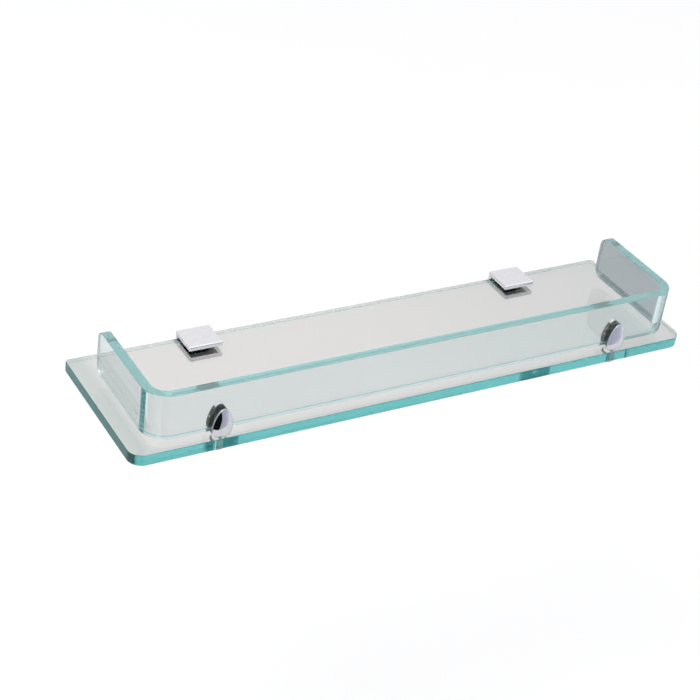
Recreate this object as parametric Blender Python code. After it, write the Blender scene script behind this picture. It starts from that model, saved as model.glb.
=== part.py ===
"""Glass wall shelf with a bent glass guard rail, chrome guard clips and chrome wall clamps.

Metres, +Z up. X runs along the shelf, the wall is the plane Y = 0 and the room is on the -Y side.
Z = 0 is the top face of the shelf plate. The plate, guard and guard clips are symmetrical about X = 0.
"""

import math

import bmesh
import bpy

# Shelf plate
SHELF_LENGTH = 0.525
SHELF_DEPTH = 0.140
SHELF_THICKNESS = 0.0095
SHELF_FRONT_RADIUS = 0.012
SHELF_REAR_RADIUS = 0.003
WALL_GAP = 0.004
GLASS_ARRIS = 0.0005

# Guard rail, one bent strip of glass
GUARD_LENGTH = 0.497
GUARD_DEPTH = 0.104
GUARD_HEIGHT = 0.040
GUARD_THICKNESS = 0.008
GUARD_LIFT = 0.0068
GUARD_SETBACK = 0.004
GUARD_BEND_RADIUS = 0.021
GUARD_END_RADIUS = 0.009

# Guard clips, which stand on the plate and hold the guard in a slot
CLIP_SPACING = 0.376
CLIP_WIDTH = 0.0180
CLIP_TOP = 0.0262
CLIP_EGG_BOTTOM = -0.0006
CLIP_FOOT = 0.0012
CLIP_EGG_SHAPE = 0.32
CLIP_EGG_ROUNDNESS = 0.85
CLIP_DOME = 0.0036
CLIP_JAW = 0.0041
CLIP_REAR_EDGE = ((0.90, 0.0), (0.97, 0.0003), (1.0, 0.0010))
LINER_WALL = 0.0008
LINER_PROUD = 0.0004
CLIP_HOLE_RADIUS = 0.00525
SLEEVE_RADIUS = 0.0049
BOLT_RADIUS = 0.0025
BOLT_CLEARANCE_RADIUS = 0.0028
BOLT_HEAD_RADIUS = 0.0046
BOLT_HEAD_HEIGHT = 0.0026
BOLT_HEAD_CROWN = ((0.55, 0.0), (0.88, 0.25), (1.0, 0.65))
BOLT_KEY_RADIUS = 0.0016
BOLT_KEY_DEPTH = 0.0014
BOLT_END_GAP = 0.0012
THREAD_END_GAP = 0.0008
GASKET_RADIUS = 0.0058
GASKET_THICKNESS = 0.0006
GASKET_CHAMFER = 0.0001
WASHER_RADIUS = 0.0066
WASHER_THICKNESS = 0.0012
RING_CHAMFER = 0.0002
CLIP_SCREW_RADIUS = 0.0019
CLIP_SCREW_HEIGHT = 0.0175
CLIP_SCREW_KEY_RADIUS = 0.0011
CLIP_SCREW_KEY_DEPTH = 0.0016

# Wall clamps, which grip the plate's rear edge
CLAMP_SPACING = 0.312
CLAMP_SHIFT = 0.008
CLAMP_WIDTH = 0.030
CLAMP_DEPTH = 0.028
CLAMP_LOWER_REACH = 0.030
CLAMP_TOP_JAW = 0.0037
CLAMP_NOSE_RADIUS = 0.0021
CLAMP_NOSE_CHAMFER = 0.0005
CLAMP_LOWER_JAW = 0.0030
CLAMP_CORNER_RADIUS = 0.0026
CLAMP_BOSS_RADIUS = 0.0050
CLAMP_BOSS_HEIGHT = 0.0025
PAD_THICKNESS = 0.0007
PAD_MARGIN = 0.0024
SET_SCREW_Y = -0.0165
SET_SCREW_RADIUS = 0.0024
SET_SCREW_LENGTH = 0.0037
SET_SCREW_KEY_RADIUS = 0.0014
SET_SCREW_KEY_DEPTH = 0.0020
PRESSURE_PAD_RADIUS = 0.0058
PRESSURE_PAD_THICKNESS = 0.0012
PRESSURE_PAD_EDGE = 0.0002
SCREW_END_CHAMFER = 0.0005
SCREW_TIP_CHAMFER = 0.0006
WALL_HOLE_RADIUS = 0.0023
WALL_COUNTERSINK_RADIUS = 0.0042
WALL_COUNTERSINK_DEPTH = 0.0019

# Space left between pieces that touch, and how far a cutter passes the face that it cuts
GAP = 0.0003
OVERCUT = 0.002
SLIGHT_OVERCUT = 0.0005

# Places worked out from the sizes above
PLATE_REAR = -WALL_GAP
PLATE_FRONT = PLATE_REAR - SHELF_DEPTH
PLATE_BOTTOM = -SHELF_THICKNESS
GUARD_FRONT = PLATE_FRONT + GUARD_SETBACK
GUARD_MIDDLE = GUARD_FRONT + GUARD_THICKNESS / 2
SLOT_HALF = GUARD_THICKNESS / 2 + 2 * GAP + LINER_WALL
LINER_FLOOR = GUARD_LIFT - GAP - LINER_WALL
SLOT_FLOOR = LINER_FLOOR - GAP
JAW_UNDERSIDE = PAD_THICKNESS + 2 * GAP
CLAMP_TOP = JAW_UNDERSIDE + CLAMP_TOP_JAW
LOWER_JAW_TOP = PLATE_BOTTOM - GAP
CLAMP_BOTTOM = LOWER_JAW_TOP - CLAMP_LOWER_JAW
BOSS_BOTTOM = CLAMP_BOTTOM - CLAMP_BOSS_HEIGHT
PAD_POCKET_FLOOR = LOWER_JAW_TOP - PRESSURE_PAD_THICKNESS - GAP
CLAMP_BACK_WALL = WALL_GAP - GAP
BOLT_HEAD_TOP = PLATE_BOTTOM - 2 * GAP - WASHER_THICKNESS

COLOURS = {
    "clear_glass": ((0.74, 0.88, 0.86, 1.0), 0.03, 0.0),
    "chrome": ((0.80, 0.80, 0.82, 1.0), 0.08, 1.0),
    "clear_liner": ((0.80, 0.84, 0.84, 1.0), 0.35, 0.0),
    "dark_rubber": ((0.03, 0.03, 0.03, 1.0), 0.70, 0.0),
    "nylon": ((0.78, 0.80, 0.80, 1.0), 0.45, 0.0),
    "steel": ((0.55, 0.56, 0.57, 1.0), 0.30, 1.0),
}


def clear_scene():
    for item in list(bpy.data.objects):
        bpy.data.objects.remove(item, do_unlink=True)


def make_materials():
    materials = {}
    for name, (colour, roughness, metallic) in COLOURS.items():
        material = bpy.data.materials.new(name)
        material.use_nodes = True
        shader = material.node_tree.nodes["Principled BSDF"]
        shader.inputs["Base Color"].default_value = colour
        shader.inputs["Roughness"].default_value = roughness
        shader.inputs["Metallic"].default_value = metallic
        materials[name] = material
    return materials


def new_empty(name, location):
    empty = bpy.data.objects.new(name, None)
    empty.location = location
    bpy.context.collection.objects.link(empty)
    return empty


def mesh_from(name, bm, smooth_angle=math.radians(35)):
    """Turns a bmesh into a mesh with outward faces, smooth except at edges sharper than the angle."""
    bmesh.ops.recalc_face_normals(bm, faces=bm.faces)
    mesh = bpy.data.meshes.new(name)
    bm.to_mesh(mesh)
    bm.free()
    mesh.shade_smooth()
    mesh.set_sharp_from_angle(angle=smooth_angle)
    return mesh


def add_part(name, mesh, material, parent, location=(0, 0, 0)):
    part = bpy.data.objects.new(name, mesh)
    part.parent = parent
    part.location = location
    if not mesh.materials:
        mesh.materials.append(material)
    bpy.context.collection.objects.link(part)
    return part


def add_cutter(name, mesh, parent, location=(0, 0, 0)):
    cutter = bpy.data.objects.new(name, mesh)
    cutter.parent = parent
    cutter.location = location
    cutter.hide_render = True
    cutter.display_type = "WIRE"
    bpy.context.collection.objects.link(cutter)
    return cutter


def boolean(part, other, operation="DIFFERENCE"):
    modifier = part.modifiers.new(operation.lower() + "_" + other.name, "BOOLEAN")
    modifier.operation = operation
    modifier.solver = "EXACT"
    modifier.object = other


def add_bevel(part, width, segments, angle=math.radians(50)):
    modifier = part.modifiers.new("edges", "BEVEL")
    modifier.width = width
    modifier.segments = segments
    modifier.limit_method = "ANGLE"
    modifier.angle_limit = angle


def arc(centre_a, centre_b, radius, start, end, steps):
    """Points on an arc, from one angle to another in degrees, both ends included."""
    points = []
    for step in range(steps + 1):
        angle = math.radians(start + (end - start) * step / steps)
        points.append((centre_a + radius * math.cos(angle), centre_b + radius * math.sin(angle)))
    return points


def prism(bm, outline, axis, low, high):
    """Extrudes a flat outline along an axis. The outline's pairs are the other two axes, in XYZ order."""
    place = {
        "X": lambda a, b, c: (c, a, b),
        "Y": lambda a, b, c: (a, c, b),
        "Z": lambda a, b, c: (a, b, c),
    }[axis]
    base = [bm.verts.new(place(a, b, low)) for a, b in outline]
    face = bm.faces.new(base)
    result = bmesh.ops.extrude_face_region(bm, geom=[face])
    moved = [item for item in result["geom"] if isinstance(item, bmesh.types.BMVert)]
    shift = [0, 0, 0]
    shift["XYZ".index(axis)] = high - low
    bmesh.ops.translate(bm, vec=shift, verts=moved)


def prism_mesh(name, outline, axis, low, high):
    bm = bmesh.new()
    prism(bm, outline, axis, low, high)
    return mesh_from(name, bm)


def box_mesh(name, low, high):
    outline = [(low[0], low[1]), (high[0], low[1]), (high[0], high[1]), (low[0], high[1])]
    return prism_mesh(name, outline, "Z", low[2], high[2])


def disc_mesh(name, radius, axis, low, high, steps=28):
    return prism_mesh(name, arc(0, 0, radius, 0, 360 - 360 / steps, steps - 1), axis, low, high)


def turned_mesh(name, profile, steps=28):
    """Turns a closed profile of (radius, height) pairs about Z. A radius of 0 is a point on the axis."""
    bm = bmesh.new()
    rings = []
    for radius, height in profile:
        count = steps if radius > 0 else 1
        turn = [math.tau * step / steps for step in range(count)]
        rings.append([bm.verts.new((radius * math.cos(a), radius * math.sin(a), height)) for a in turn])
    pairs = list(zip(rings, rings[1:] + rings[:1]))
    for lower, upper in pairs:
        for step in range(steps):
            after = (step + 1) % steps
            corners = [lower[step % len(lower)], lower[after % len(lower)]]
            corners += [upper[after % len(upper)], upper[step % len(upper)]]
            distinct = list(dict.fromkeys(corners))
            if len(distinct) > 2:
                bm.faces.new(distinct)
    return mesh_from(name, bm)


def ring_profile(outer, inner, low, high, chamfer):
    """Profile of a washer or sleeve with its outer corners broken."""
    return [
        (inner, low),
        (outer - chamfer, low),
        (outer, low + chamfer),
        (outer, high - chamfer),
        (outer - chamfer, high),
        (inner, high),
    ]


def rounded_outline(low, high, radii, steps):
    """A rectangle with its own radius at each corner: low low, high low, high high, low high."""
    corners = [(low[0], low[1], 180), (high[0], low[1], 270), (high[0], high[1], 0), (low[0], high[1], 90)]
    outline = []
    for (corner_a, corner_b, start), radius in zip(corners, radii):
        centre_a = corner_a + radius if corner_a == low[0] else corner_a - radius
        centre_b = corner_b + radius if corner_b == low[1] else corner_b - radius
        outline += arc(centre_a, centre_b, radius, start, start + 90, steps)
    return outline


def egg_outline(scale=1.0, grow=0.0, steps=44):
    """Egg outline of a clip's jaws in X and Z, widest below the middle, drawn in towards its own centre."""
    half_height = (CLIP_TOP - CLIP_EGG_BOTTOM) / 2
    centre = (CLIP_TOP + CLIP_EGG_BOTTOM) / 2
    angles = [math.tau * step / steps for step in range(steps)]
    shares = []
    for angle in angles:
        bulge = abs(math.sin(angle)) ** CLIP_EGG_ROUNDNESS * (1 + CLIP_EGG_SHAPE * math.cos(angle))
        shares.append(math.copysign(bulge, math.sin(angle)))
    across = (CLIP_WIDTH / 2 * scale + grow) / max(shares)
    up = half_height * scale + grow
    return [(across * share, centre - up * math.cos(angle)) for share, angle in zip(shares, angles)]


def loft_mesh(name, sections):
    """Joins rings of points, each (outline in X and Z, Y), from the back to the front and caps the ends."""
    bm = bmesh.new()
    rings = [[bm.verts.new((x, y, z)) for x, z in outline] for outline, y in sections]
    for behind, ahead in zip(rings, rings[1:]):
        count = len(behind)
        for step in range(count):
            after = (step + 1) % count
            bm.faces.new([behind[step], behind[after], ahead[after], ahead[step]])
    bm.faces.new(rings[0])
    bm.faces.new(rings[-1])
    return mesh_from(name, bm)


def build_shelf_plate(materials, root):
    low = (-SHELF_LENGTH / 2, PLATE_FRONT)
    high = (SHELF_LENGTH / 2, PLATE_REAR)
    radii = (SHELF_FRONT_RADIUS, SHELF_FRONT_RADIUS, SHELF_REAR_RADIUS, SHELF_REAR_RADIUS)
    outline = rounded_outline(low, high, radii, 8)
    mesh = prism_mesh("shelf_plate", outline, "Z", PLATE_BOTTOM, 0)
    plate = add_part("shelf_plate", mesh, materials["clear_glass"], root)
    add_bevel(plate, GLASS_ARRIS, 1)
    hole = disc_mesh("clip_hole", CLIP_HOLE_RADIUS, "Z", PLATE_BOTTOM - OVERCUT, OVERCUT)
    for side, name in ((-1, "left"), (1, "right")):
        cutter = add_cutter("clip_hole_" + name, hole, root, (side * CLIP_SPACING / 2, GUARD_MIDDLE, 0))
        boolean(plate, cutter)


def guard_outline():
    """Plan of the bent strip, along its outer face from left end to right end and back along its inner."""
    half = GUARD_LENGTH / 2
    rear = GUARD_FRONT + GUARD_DEPTH
    centre_x = half - GUARD_BEND_RADIUS
    centre_y = GUARD_FRONT + GUARD_BEND_RADIUS
    inner_radius = GUARD_BEND_RADIUS - GUARD_THICKNESS
    outer = [(-half, rear)]
    outer += arc(-centre_x, centre_y, GUARD_BEND_RADIUS, 180, 270, 14)
    outer += arc(centre_x, centre_y, GUARD_BEND_RADIUS, 270, 360, 14)
    outer += [(half, rear)]
    inner = [(half - GUARD_THICKNESS, rear)]
    inner += arc(centre_x, centre_y, inner_radius, 360, 270, 14)
    inner += arc(-centre_x, centre_y, inner_radius, 270, 180, 14)
    inner += [(-half + GUARD_THICKNESS, rear)]
    return outer + inner


def build_guard_rail(materials, root):
    bm = bmesh.new()
    prism(bm, guard_outline(), "Z", GUARD_LIFT, GUARD_LIFT + GUARD_HEIGHT)
    rear = GUARD_FRONT + GUARD_DEPTH
    ends = []
    for edge in bm.edges:
        at_end = all(abs(vert.co.y - rear) < 1e-6 for vert in edge.verts)
        level = abs(edge.verts[0].co.z - edge.verts[1].co.z) < 1e-6
        if at_end and level:
            ends.append(edge)
    bmesh.ops.bevel(bm, geom=ends, offset=GUARD_END_RADIUS, segments=8, profile=0.5, affect="EDGES")
    guard = add_part("guard_rail", mesh_from("guard_rail", bm), materials["clear_glass"], root)
    add_bevel(guard, GLASS_ARRIS, 1)


def clip_sections():
    """The egg outline from the rear jaw's back face to the tip of the front jaw's dome."""
    rear_face = SLOT_HALF + CLIP_JAW
    front_rim = -(SLOT_HALF + CLIP_JAW - CLIP_DOME)
    sections = [(egg_outline(scale), rear_face - inset) for scale, inset in CLIP_REAR_EDGE]
    sections.append((egg_outline(1.0), front_rim))
    steps = 8
    for step in range(1, steps):
        angle = math.pi / 2 * step / steps
        sections.append((egg_outline(math.cos(angle)), front_rim - CLIP_DOME * math.sin(angle)))
    return sections


def make_clip_meshes():
    meshes = {}
    meshes["body"] = loft_mesh("clip_body", clip_sections())
    outline = egg_outline(1.0, LINER_PROUD)
    meshes["liner"] = loft_mesh("clip_liner", [(outline, SLOT_HALF - GAP), (outline, GAP - SLOT_HALF)])
    inner = BOLT_CLEARANCE_RADIUS
    gasket = ring_profile(GASKET_RADIUS, inner, GAP, GAP + GASKET_THICKNESS, GASKET_CHAMFER)
    meshes["gasket"] = turned_mesh("clip_gasket", gasket)
    sleeve = ring_profile(SLEEVE_RADIUS, inner, PLATE_BOTTOM, 0, RING_CHAMFER)
    meshes["sleeve"] = turned_mesh("clip_sleeve", sleeve)
    washer_top = PLATE_BOTTOM - GAP
    washer_bottom = washer_top - WASHER_THICKNESS
    washer = ring_profile(WASHER_RADIUS, inner, washer_bottom, washer_top, RING_CHAMFER)
    meshes["washer"] = turned_mesh("clip_washer", washer)
    head_bottom = BOLT_HEAD_TOP - BOLT_HEAD_HEIGHT
    tip = SLOT_FLOOR - BOLT_END_GAP
    bolt = [(0, head_bottom)]
    for across, up in BOLT_HEAD_CROWN:
        bolt.append((BOLT_HEAD_RADIUS * across, head_bottom + BOLT_HEAD_HEIGHT * up))
    bolt += [
        (BOLT_HEAD_RADIUS, BOLT_HEAD_TOP),
        (BOLT_RADIUS, BOLT_HEAD_TOP),
        (BOLT_RADIUS, tip - SCREW_END_CHAMFER),
        (BOLT_RADIUS - SCREW_END_CHAMFER, tip),
        (0, tip),
    ]
    meshes["bolt"] = turned_mesh("clip_bolt", bolt)
    screw_rear = SLOT_HALF + CLIP_JAW - GAP
    meshes["screw"] = disc_mesh("clip_screw", CLIP_SCREW_RADIUS, "Y", SLOT_HALF, screw_rear)
    return meshes


def build_clip(side, meshes, materials, root):
    """One guard clip. Its origin is on the guard's middle plane, at the level of the plate's top face."""
    name = "left" if side < 0 else "right"
    place = new_empty("guard_clip_" + name, (side * CLIP_SPACING / 2, GUARD_MIDDLE, 0))
    place.parent = root

    body = add_part("clip_body_" + name, meshes["body"], materials["chrome"], place)
    reach = CLIP_WIDTH
    slot = box_mesh("slot", (-reach, -SLOT_HALF, SLOT_FLOOR), (reach, SLOT_HALF, CLIP_TOP + OVERCUT))
    boolean(body, add_cutter("clip_slot_" + name, slot, place))
    foot = box_mesh("foot", (-reach, -reach, -OVERCUT), (reach, reach, CLIP_FOOT))
    boolean(body, add_cutter("clip_foot_" + name, foot, place))
    thread_end = SLOT_FLOOR - THREAD_END_GAP
    thread = disc_mesh("thread", BOLT_CLEARANCE_RADIUS, "Z", CLIP_FOOT - OVERCUT, thread_end)
    boolean(body, add_cutter("clip_thread_" + name, thread, place))
    jaw_rear = SLOT_HALF + CLIP_JAW
    tapped_radius = CLIP_SCREW_RADIUS + GAP
    tapped = disc_mesh("tapped", tapped_radius, "Y", SLOT_HALF - OVERCUT, jaw_rear + OVERCUT)
    screw_place = (0, 0, CLIP_SCREW_HEIGHT)
    boolean(body, add_cutter("clip_tapped_" + name, tapped, place, screw_place))

    liner = add_part("clip_liner_" + name, meshes["liner"], materials["clear_liner"], place)
    inside = GUARD_THICKNESS / 2 + GAP
    space = box_mesh("space", (-reach, -inside, GUARD_LIFT - GAP), (reach, inside, CLIP_TOP + OVERCUT))
    boolean(liner, add_cutter("clip_space_" + name, space, place))
    below = box_mesh("below", (-reach, -reach, -OVERCUT), (reach, reach, LINER_FLOOR))
    boolean(liner, add_cutter("clip_below_" + name, below, place))

    add_part("clip_gasket_" + name, meshes["gasket"], materials["nylon"], place)
    add_part("clip_sleeve_" + name, meshes["sleeve"], materials["nylon"], place)
    add_part("clip_washer_" + name, meshes["washer"], materials["nylon"], place)

    bolt = add_part("clip_bolt_" + name, meshes["bolt"], materials["steel"], place)
    head_bottom = BOLT_HEAD_TOP - BOLT_HEAD_HEIGHT
    key_end = head_bottom + BOLT_KEY_DEPTH
    key = disc_mesh("key", BOLT_KEY_RADIUS, "Z", head_bottom - OVERCUT, key_end, 6)
    boolean(bolt, add_cutter("clip_bolt_key_" + name, key, place))

    screw = add_part("clip_screw_" + name, meshes["screw"], materials["steel"], place, screw_place)
    screw_rear = jaw_rear - GAP
    key_end = screw_rear - CLIP_SCREW_KEY_DEPTH
    socket = disc_mesh("socket", CLIP_SCREW_KEY_RADIUS, "Y", key_end, screw_rear + OVERCUT, 6)
    boolean(screw, add_cutter("clip_socket_" + name, socket, place, screw_place))


def clamp_profile():
    """Side view of a clamp in Y and Z: back wall, lower jaw, glass slot and top jaw with a round nose."""
    nose = CLAMP_NOSE_RADIUS
    profile = [(0, CLAMP_BOTTOM), (-CLAMP_LOWER_REACH, CLAMP_BOTTOM)]
    profile += [(-CLAMP_LOWER_REACH, LOWER_JAW_TOP), (-CLAMP_BACK_WALL, LOWER_JAW_TOP)]
    profile += [(-CLAMP_BACK_WALL, JAW_UNDERSIDE), (-CLAMP_DEPTH + CLAMP_NOSE_CHAMFER, JAW_UNDERSIDE)]
    profile += [(-CLAMP_DEPTH, JAW_UNDERSIDE + CLAMP_NOSE_CHAMFER)]
    profile += arc(-CLAMP_DEPTH + nose, CLAMP_TOP - nose, nose, 180, 90, 6)
    profile += [(0, CLAMP_TOP)]
    return profile


def make_clamp_meshes():
    meshes = {}
    half = CLAMP_WIDTH / 2
    bm = bmesh.new()
    prism(bm, clamp_profile(), "X", -half, half)
    corners = []
    for edge in bm.edges:
        low, high = sorted(vert.co.z for vert in edge.verts)
        at_front = all(abs(vert.co.y + CLAMP_LOWER_REACH) < 1e-6 for vert in edge.verts)
        if at_front and high - low > CLAMP_LOWER_JAW / 2:
            corners.append(edge)
    bmesh.ops.bevel(bm, geom=corners, offset=CLAMP_CORNER_RADIUS, segments=5, profile=0.5, affect="EDGES")
    meshes["body"] = mesh_from("clamp_body", bm)
    pocket = PRESSURE_PAD_RADIUS + GAP
    pocket_top = LOWER_JAW_TOP + SLIGHT_OVERCUT
    meshes["pocket"] = disc_mesh("clamp_pocket", pocket, "Z", PAD_POCKET_FLOOR, pocket_top)
    boss_top = CLAMP_BOTTOM + SLIGHT_OVERCUT
    meshes["boss"] = disc_mesh("clamp_boss", CLAMP_BOSS_RADIUS, "Z", BOSS_BOTTOM, boss_top)
    hole = SET_SCREW_RADIUS + GAP
    hole_bottom = BOSS_BOTTOM - OVERCUT
    hole_top = PAD_POCKET_FLOOR + SLIGHT_OVERCUT
    meshes["screw_hole"] = disc_mesh("clamp_screw_hole", hole, "Z", hole_bottom, hole_top)
    sink_rim = CLAMP_BACK_WALL - WALL_COUNTERSINK_DEPTH
    sink_slope = (WALL_COUNTERSINK_RADIUS - WALL_HOLE_RADIUS) / WALL_COUNTERSINK_DEPTH
    past_radius = WALL_COUNTERSINK_RADIUS + SLIGHT_OVERCUT * sink_slope
    wall_hole = [
        (0, -OVERCUT),
        (WALL_HOLE_RADIUS, -OVERCUT),
        (WALL_HOLE_RADIUS, sink_rim),
        (past_radius, CLAMP_BACK_WALL + SLIGHT_OVERCUT),
        (0, CLAMP_BACK_WALL + SLIGHT_OVERCUT),
    ]
    meshes["wall_hole"] = turned_mesh("clamp_wall_hole", wall_hole)
    pad_low = (-half + PAD_MARGIN, -CLAMP_DEPTH + PAD_MARGIN, GAP)
    pad_high = (half - PAD_MARGIN, -CLAMP_BACK_WALL - PAD_MARGIN, GAP + PAD_THICKNESS)
    meshes["upper_pad"] = box_mesh("clamp_upper_pad", pad_low, pad_high)
    pad_top = LOWER_JAW_TOP
    pad_bottom = pad_top - PRESSURE_PAD_THICKNESS
    pad = [
        (0, pad_bottom),
        (PRESSURE_PAD_RADIUS - 2 * PRESSURE_PAD_EDGE, pad_bottom),
        (PRESSURE_PAD_RADIUS, pad_bottom + 2 * PRESSURE_PAD_EDGE),
        (PRESSURE_PAD_RADIUS, pad_top - PRESSURE_PAD_EDGE),
        (PRESSURE_PAD_RADIUS - PRESSURE_PAD_EDGE, pad_top),
        (0, pad_top),
    ]
    meshes["pressure_pad"] = turned_mesh("clamp_pressure_pad", pad)
    screw_bottom = pad_bottom - GAP - SET_SCREW_LENGTH
    screw = [
        (0, screw_bottom),
        (SET_SCREW_RADIUS, screw_bottom),
        (SET_SCREW_RADIUS, screw_bottom + SET_SCREW_LENGTH - SCREW_TIP_CHAMFER),
        (SET_SCREW_RADIUS - SCREW_TIP_CHAMFER, screw_bottom + SET_SCREW_LENGTH),
        (0, screw_bottom + SET_SCREW_LENGTH),
    ]
    meshes["set_screw"] = turned_mesh("clamp_set_screw", screw)
    key_end = screw_bottom + SET_SCREW_KEY_DEPTH
    meshes["key"] = disc_mesh("clamp_key", SET_SCREW_KEY_RADIUS, "Z", screw_bottom - OVERCUT, key_end, 6)
    return meshes


def build_clamp(side, meshes, materials, root):
    """One wall clamp. Its origin is on the wall plane, at the level of the plate's top face."""
    name = "left" if side < 0 else "right"
    place = new_empty("wall_clamp_" + name, (CLAMP_SHIFT + side * CLAMP_SPACING / 2, 0, 0))
    place.parent = root

    body = add_part("clamp_body_" + name, meshes["body"], materials["chrome"], place)
    pad_place = (0, SET_SCREW_Y, 0)
    boss = add_cutter("clamp_boss_" + name, meshes["boss"], place, pad_place)
    boolean(body, boss, "UNION")
    boolean(body, add_cutter("clamp_pocket_" + name, meshes["pocket"], place, pad_place))
    boolean(body, add_cutter("clamp_screw_hole_" + name, meshes["screw_hole"], place, pad_place))
    wall_hole = add_cutter("clamp_wall_hole_" + name, meshes["wall_hole"], place, (0, 0, PLATE_BOTTOM / 2))
    wall_hole.rotation_euler = (math.pi / 2, 0, 0)
    boolean(body, wall_hole)

    add_part("clamp_upper_pad_" + name, meshes["upper_pad"], materials["clear_liner"], place)
    rubber = materials["dark_rubber"]
    add_part("clamp_pressure_pad_" + name, meshes["pressure_pad"], rubber, place, pad_place)
    screw = add_part("clamp_set_screw_" + name, meshes["set_screw"], materials["steel"], place, pad_place)
    boolean(screw, add_cutter("clamp_key_" + name, meshes["key"], place, pad_place))


def main():
    clear_scene()
    materials = make_materials()
    root = new_empty("wall_shelf", (0, 0, 0))
    build_shelf_plate(materials, root)
    build_guard_rail(materials, root)
    clip_meshes = make_clip_meshes()
    clamp_meshes = make_clamp_meshes()
    for side in (-1, 1):
        build_clip(side, clip_meshes, materials, root)
        build_clamp(side, clamp_meshes, materials, root)


main()
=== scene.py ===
"""Glass wall shelf with a bent glass guard rail, chrome guard clips and chrome wall clamps.

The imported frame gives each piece's place. This script adds fine surfaces and finishes around it, then a pale
floor, soft studio light and the camera. Metres, +Z up, wall on the plane Y = 0, room on the -Y side.
"""

import logging
from dataclasses import dataclass, field
from enum import Enum

import bmesh
import bpy
import numpy as np
from mathutils import Matrix, Vector
from mathutils.geometry import tessellate_polygon
from numpy.typing import NDArray


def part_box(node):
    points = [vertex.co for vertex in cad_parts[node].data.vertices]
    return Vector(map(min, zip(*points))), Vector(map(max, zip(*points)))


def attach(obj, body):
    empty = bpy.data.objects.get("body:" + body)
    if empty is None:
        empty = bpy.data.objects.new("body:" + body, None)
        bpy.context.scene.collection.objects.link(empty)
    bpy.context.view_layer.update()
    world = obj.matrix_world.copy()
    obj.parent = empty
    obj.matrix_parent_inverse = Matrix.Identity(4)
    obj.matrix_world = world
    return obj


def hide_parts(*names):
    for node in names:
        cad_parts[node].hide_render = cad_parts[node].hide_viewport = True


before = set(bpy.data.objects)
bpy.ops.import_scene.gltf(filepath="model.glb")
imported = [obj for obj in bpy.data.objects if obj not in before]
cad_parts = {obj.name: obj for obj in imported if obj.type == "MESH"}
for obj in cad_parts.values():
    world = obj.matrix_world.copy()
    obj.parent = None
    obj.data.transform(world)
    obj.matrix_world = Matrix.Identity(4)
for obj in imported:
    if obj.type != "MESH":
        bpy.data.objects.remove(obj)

log = logging.getLogger("wall_shelf")

Array = NDArray[np.float64]
Colour = tuple[float, float, float]
Mesh = bpy.types.Mesh
Material = bpy.types.Material
Piece = bpy.types.Object
Socket = bpy.types.NodeSocket
MM = 0.001
NEAR = 0.02 * MM
TURN = 2 * np.pi
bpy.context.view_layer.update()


class Side(Enum):
    """Which of a pair a clip or clamp is."""

    LEFT = "left"
    RIGHT = "right"


class Axis(Enum):
    """The way that a turned piece's own axis points."""

    UP = "up"
    BACK = "back"


# ---------------------------------------------------------------- shared mesh helpers


def box_of(node: str) -> tuple[Array, Array]:
    """Gives a frame node's lowest and highest corners.

    Args:
        node: The node's name.

    Returns:
        The two corners, as arrays of three.
    """
    low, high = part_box(node)
    return np.array(low, float), np.array(high, float)


def spaced(start: float, end: float, steps: int) -> Array:
    """Gives steps + 1 even values from start to end."""
    return np.linspace(start, end, steps + 1)


def grid_faces(rows: int, columns: int, wrap_rows: bool = False, wrap_columns: bool = False) -> NDArray:
    """Quads that join a grid of points, numbered row by row.

    Quad (i, j) joins points (i, j), (i, j + 1), (i + 1, j + 1) and (i + 1, j), with i and j taken round
    again to the first row or column where the grid closes on itself.

    Args:
        rows: Number of rows of points.
        columns: Number of columns of points.
        wrap_rows: Whether the last row joins the first.
        wrap_columns: Whether the last column joins the first.

    Returns:
        An array of quads, four point numbers each.
    """
    row = np.arange(rows if wrap_rows else rows - 1)[:, None]
    column = np.arange(columns if wrap_columns else columns - 1)[None, :]
    next_row = (row + 1) % rows
    next_column = (column + 1) % columns
    corners = [
        row * columns + column,
        row * columns + next_column,
        next_row * columns + next_column,
        next_row * columns + column,
    ]
    return np.stack([np.broadcast_to(c, (len(row), column.shape[1])) for c in corners], -1).reshape(-1, 4)


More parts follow.
